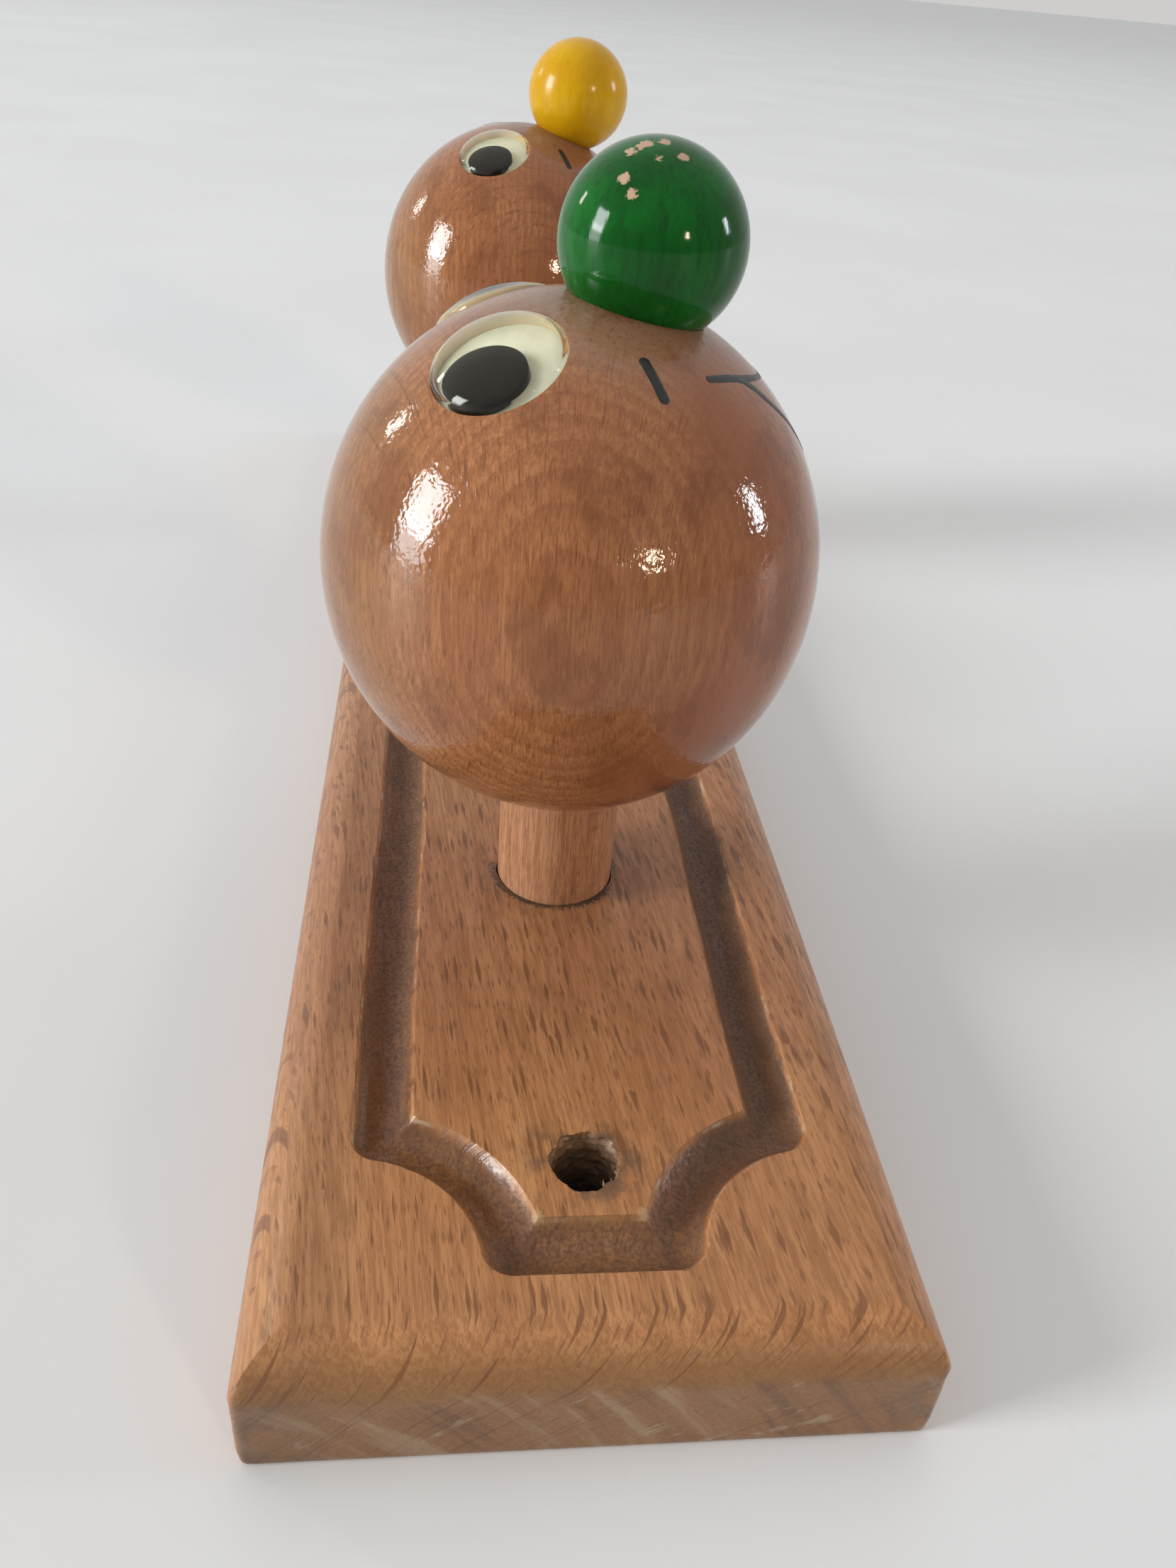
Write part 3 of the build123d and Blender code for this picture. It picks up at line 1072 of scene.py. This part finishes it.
PEG_LOOK = dict(
    HEAD_LOOK,
    girth=20.0,
    slant=0.0,
    ring=2.4,
    ring_strength=0.14,
    light=(0.52, 0.275, 0.150),
    deep=(0.45, 0.203, 0.098),
    ring_tone=(0.27, 0.105, 0.042),
    dark=(0.19, 0.070, 0.028),
    fleck=(0.115, 0.040, 0.016),
    small_strength=0.22,
    fleck_strength=0.28,
    rough=(0.27, 0.42),
    bump=(0.40, 0.08),
    ripple=None,
)

# How far the piths lie from the middle of a peg or head, and how strongly a head's flecks show
PEG_PITH = (-14.0, 9.0)
HEAD_PITH = {"left": (-48.0, 5.5), "right": (-20.0, -44.0)}
HEAD_FLECKS = {"left": 0.45, "right": 0.30}


def peg_material(side):
    centre = middle(f"{side}_peg")
    look = dict(PEG_LOOK, pith=(centre.x + PEG_PITH[0], centre.y + PEG_PITH[1]))
    return wood(f"{side}_peg_beech", look)


def head_material(side):
    centre = head_centre(side)
    off_x, off_y = HEAD_PITH[side]
    look = dict(HEAD_LOOK, pith=(centre.x + off_x, centre.y + off_y))
    look["fleck_strength"] = HEAD_FLECKS[side]
    look["wear_and_shade"] = head_wear_and_shade(centre, middle(f"{side}_nose"))
    return wood(f"{side}_head_beech", look)


# ---------- paint


CHIP_SIZE = 0.56
BARE_TONE = (0.47, 0.32, 0.21)

# Angles of the green ball's chips, and how large each one is
GREEN_CHIPS = (
    (-43, 26, 1.0), (-54, 22, 0.9), (-22, 21, 1.0), (-17, 12, 1.25),
    (-19, 15, 0.9), (-16, 1, 1.0), (-29, -8, 0.9), (-32, 6, 0.55),
)

GREEN_LOOK = dict(
    light=(0.003, 0.112, 0.011),
    deep=(0.003, 0.064, 0.006),
    dark=(0.003, 0.030, 0.005),
    grain=0.45,
    rough=(0.05, 0.12),
    bump=(0.16, 0.05),
)

YELLOW_LOOK = dict(
    light=(0.62, 0.355, 0.004),
    deep=(0.56, 0.295, 0.003),
    dark=(0.42, 0.190, 0.003),
    grain=0.22,
    rough=(0.14, 0.26),
    bump=(0.14, 0.05),
)


def chip_mask(g, place, node, chips):
    """Ragged chips at given angles on a painted ball."""
    rag = g.noise(place, 2.3, 5.0, 0.75)
    total = 0.0
    for along, up, stretch in chips:
        spot = middle(node) + aimed(along, up) * half_width(node)
        gap = g.vector("DISTANCE", place, tuple(spot))
        ragged = g.plus(gap, g.times(g.minus(rag, 0.5), 1.5))
        size = CHIP_SIZE * stretch
        total = g.math("MAXIMUM", total, g.smooth(ragged, size, size * 0.75))
    return total


def paint(name, node, look, chips=()):
    """Gloss paint over turned wood, thin enough to show its grain, chipped to the wood."""
    g = material_graph(name)
    place = g.millimetres()
    grain = g.noise(place, (1.6, 1.6, 0.16), 4.0, 0.6)
    cloud = g.noise(place, 0.12, 3.0, 0.55)
    lines = g.noise(place, (4.5, 4.5, 0.35), 2.0, 0.5)
    g.colour = g.mix(g.smooth(cloud, 0.35, 0.65), look["light"], look["deep"])
    g.tint(look["dark"], g.smooth(grain, 0.42, 0.70, 0.0, look["grain"]))
    g.tint(look["dark"], g.smooth(lines, 0.55, 0.70, 0.0, look["grain"] * 0.8))
    rough = g.smooth(grain, 0.3, 0.7, *look["rough"])
    relief = g.plus(grain, g.times(lines, 0.5))
    if chips:
        bare = chip_mask(g, place, node, chips)
        g.tint(BARE_TONE, bare)
        rough = g.plus(rough, g.times(bare, 0.35))
        relief = g.minus(relief, g.times(bare, 1.6))
    return g.finish(rough, g.bump(relief, *look["bump"]), 0.22)


# ---------- plain materials


# Noises are scale, detail and roughness. Spreads are the noise's values for the two tones.
BACKING_LOOK = dict(
    mottle=(0.45, 4.0, 0.6),
    fine=(5.0, 3.0, 0.6),
    spread=(0.3, 0.7),
    light=(0.555, 0.590, 0.530),
    deep=(0.49, 0.51, 0.44),
    rough=(0.3, 0.7, 0.38, 0.52),
    bump=(0.10, 0.03),
)

PUPIL_LOOK = dict(
    mottle=(1.2, 4.0, 0.55),
    spread=(0.5, 0.8),
    light=(0.004, 0.004, 0.003),
    deep=(0.009, 0.008, 0.006),
    rough=(0.35, 0.75, 0.10, 0.22),
    bump=(0.05, 0.01),
    specular=0.12,
)

INK_LOOK = dict(
    mottle=(1.4, 5.0, 0.65),
    spread=(0.45, 0.75),
    light=(0.010, 0.009, 0.009),
    deep=(0.030, 0.024, 0.020),
    rough=(0.3, 0.7, 0.30, 0.48),
    bump=(0.12, 0.03),
)

FIBRE_LOOK = dict(
    mottle=((0.8, 2.5, 2.5), 4.0, 0.6),
    spread=(0.3, 0.7),
    light=(0.32, 0.205, 0.115),
    deep=(0.15, 0.082, 0.042),
    rough=(0.3, 0.7, 0.6, 0.8),
    bump=(0.3, 0.03),
)


def mottled(name, look):
    """A plain material, a little uneven in its tone, its gloss and its relief."""
    g = material_graph(name)
    place = g.millimetres()
    mottle = g.noise(place, *look["mottle"])
    fine = g.noise(place, *look["fine"]) if "fine" in look else mottle
    g.colour = g.mix(g.smooth(mottle, *look["spread"]), look["light"], look["deep"])
    rough = g.smooth(fine, *look["rough"])
    return g.finish(rough, g.bump(fine, *look["bump"]), look.get("specular", 0.5))


def dome_material(name, joint, haze_look):
    """Clear moulded plastic with a yellowed, hazy wall. Lamp rays pass straight through,
    so the eye behind stays lit."""
    g = material_graph(name)
    place = g.millimetres()
    haze = g.noise(place, 0.9, 4.0, 0.6)
    axis = Vector(joint["axis"]).normalized()
    floor = Vector(joint["pos_m"]).dot(axis) / MM - PUPIL_MIDDLE
    height = g.minus(g.vector("DOT_PRODUCT", place, tuple(axis)), floor)
    top, low, strength, from_x = haze_look
    aside = g.minus(g.split(place)[0], joint["pos_m"][0] / MM)
    wall = g.times(g.smooth(height, top, low), g.smooth(aside, from_x, from_x + 2.0))
    g.colour = g.mix(g.smooth(haze, 0.3, 0.7), (0.960, 0.945, 0.865), (0.930, 0.905, 0.810))
    g.tint((0.74, 0.66, 0.46), wall)
    inputs = {"Base Color": g.colour, "IOR": 1.28}
    inputs["Roughness"] = g.smooth(haze, 0.4, 0.8, 0.01, 0.03)
    inputs["Transmission Weight"] = g.minus(1.0, g.times(wall, strength))
    inputs["Normal"] = g.bump(haze, 0.03, 0.05)
    plastic = g.node("BsdfPrincipled", inputs).outputs[0]
    clear = g.node("BsdfTransparent", {"Color": (0.95, 0.95, 0.92)}).outputs[0]
    lamp_ray = g.node("LightPath").outputs["Is Shadow Ray"]
    both = g.node("MixShader", {0: lamp_ray, 1: plastic, 2: clear}).outputs[0]
    return g.show("Material", both)


def floor_material():
    """White laminate, softly mottled."""
    g = material_graph("pale_floor")
    place = g.millimetres()
    cloud = g.noise(place, 0.006, 4.0, 0.55)
    fine = g.noise(place, 0.35, 5.0, 0.65)
    g.colour = g.mix(g.smooth(cloud, 0.3, 0.7), (0.79, 0.79, 0.79), (0.75, 0.75, 0.745))
    g.tint((0.66, 0.655, 0.64), g.smooth(fine, 0.60, 0.80, 0.0, 0.25))
    rough = g.smooth(fine, 0.3, 0.7, 0.42, 0.55)
    return g.finish(rough, g.bump(fine, 0.10, 0.08), 0.4)


# ---------- stage


FLOOR_RINGS = (0.0, 400.0, 1500.0, 6000.0, 30000.0)
LIGHT_REACH = 3.5
LIGHT_TARGET = Vector((0.0, 0.0, 0.03))
ROOM_LEAN = (0.70, 0.08, 0.45)

# Each light's direction, width, height, power and colour
LIGHTS = {
    "window": ((-0.20, 1.14, 0.40), 0.36, 0.42, 11.0, (0.96, 0.985, 1.0)),
    "window_glow": ((-0.20, 1.14, 0.155), 0.30, 0.30, 3.2, (0.96, 0.985, 1.0)),
    "lamp": ((-0.98, -0.60, 0.37), 0.08, 0.12, 2.3, (1.0, 0.80, 0.58)),
    "side_window": ((0.0, -1.15, 0.33), 0.11, 0.24, 2.4, (0.88, 0.94, 1.0)),
    "far_window": ((0.62, 0.95, 0.43), 0.09, 0.18, 0.8, (1.0, 0.97, 0.92)),
}

CAMERA_PLACE = (-0.17699, 0.01275, 0.10060)
CAMERA_YAW_PITCH_ROLL = (-0.13968, -0.58773, 0.09066)
CAMERA_LENS = 28.09


def build_floor():
    """A wide round floor under the board."""
    points, faces = lathe([(radius, 0.0) for radius in FLOOR_RINGS], 64)
    floor = make_object("floor", points, faces)
    floor.data.materials.append(floor_material())


def soft_light(name, aim, width, height, power, colour):
    """A rectangular light that faces the rack. It stands LIGHT_REACH times as far off as its
    direction's length in metres and is as much larger, so that the floor is evenly lit."""
    lamp = bpy.data.lights.new(name, "AREA")
    lamp.shape = "RECTANGLE"
    lamp.size = width * LIGHT_REACH
    lamp.size_y = height * LIGHT_REACH
    lamp.energy = power * LIGHT_REACH**2
    lamp.color = colour
    holder = bpy.data.objects.new(name, lamp)
    holder.location = LIGHT_TARGET + Vector(aim) * LIGHT_REACH
    holder.visible_camera = False
    holder.rotation_mode = "QUATERNION"
    holder.rotation_quaternion = (-Vector(aim)).to_track_quat("-Z", "Y")
    scene.collection.objects.link(holder)


def build_world():
    """A soft room: brighter above and behind the rack, and plain pale where the camera sees it
    or looks through a dome."""
    world = bpy.data.worlds.new("soft_room")
    g = Graph(world)
    way = g.node("TexCoord").outputs["Generated"]
    level = {"Value": g.vector("DOT_PRODUCT", way, ROOM_LEAN), "From Min": -0.9, "From Max": 0.9}
    level.update({"To Min": 0.16, "To Max": 0.80})
    inputs = {"Color": (0.985, 0.99, 1.0), "Strength": g.node("MapRange", level).outputs[0]}
    light = g.node("Background", inputs).outputs[0]
    seen = g.node("Background", {"Color": (0.62, 0.61, 0.60)}).outputs[0]
    path = g.node("LightPath").outputs
    plain = g.math("MAXIMUM", path["Is Camera Ray"], path["Is Transmission Ray"])
    g.show("World", g.node("MixShader", {0: plain, 1: light, 2: seen}).outputs[0])
    scene.world = world


def build_camera():
    data = bpy.data.cameras.new("camera")
    data.sensor_width = 36.0
    data.lens = CAMERA_LENS
    data.clip_start = 0.005
    data.clip_end = 100.0
    camera = bpy.data.objects.new("camera", data)
    yaw, pitch, roll = CAMERA_YAW_PITCH_ROLL
    level = math.cos(pitch)
    ahead = Vector((math.cos(yaw) * level, math.sin(yaw) * level, math.sin(pitch)))
    right = Vector((math.sin(yaw), -math.cos(yaw), 0.0))
    up = right.cross(ahead)
    across = right * math.cos(roll) + up * math.sin(roll)
    above = up * math.cos(roll) - right * math.sin(roll)
    turn = Matrix((across, above, -ahead)).transposed().to_4x4()
    camera.matrix_world = Matrix.Translation(CAMERA_PLACE) @ turn
    scene.collection.objects.link(camera)
    scene.camera = camera


# ---------- build


def recolour(node, material):
    """Give a CAD node that keeps its shape a better material."""
    mesh = frame["nodes"][node].data
    mesh.materials.clear()
    mesh.materials.append(material)


build_camera()
build_world()
for name, figures in LIGHTS.items():
    soft_light(name, *figures)
build_floor()

build_board(wood("board_beech", BOARD_LOOK))
torn = mottled("torn_fibre", FIBRE_LOOK)
for k, (side, sign) in enumerate(SIGNS.items()):
    rim = Vector((sign * SCREW_X, 0, THICKNESS))
    build_splinters(f"{side}_screw_hole_fibres", rim, torn, 5 + k, **SCREW_FIBRES)
    foot = middle(f"{side}_peg")
    foot.z = THICKNESS
    build_splinters(f"{side}_peg_foot_fibres", foot, torn, 21 + k, **PEG_FIBRES)
    build_peg(side, peg_material(side))
    recolour(f"{side}_head", head_material(side))

recolour("left_nose", paint("green_gloss", "left_nose", GREEN_LOOK, GREEN_CHIPS))
recolour("right_nose", paint("yellow_gloss", "right_nose", YELLOW_LOOK))

eye_looks = {
    "backing": mottled("eye_cream", BACKING_LOOK),
    "pupil": mottled("pupil_black", PUPIL_LOOK),
}
for joint in frame["joints"]:
    side, _, eye = joint["child"].split("_")[:3]
    eye_looks["dome"] = dome_material(f"{side}_{eye}_clear_dome", joint, DOME_HAZE[eye])
    build_eye(side, eye, joint, eye_looks)

ink = mottled("marker_ink", INK_LOOK)
build_ink("left", 0.0, 0.0, [(-25.1, -8.2), (-30.2, -10.4), (-35.3, -12.5)], ink)
build_ink("right", -0.4, -6.9, [(-22.0, -13.5), (-27.0, -15.6), (-31.9, -17.7)], ink)

scene.view_settings.view_transform = "Standard"
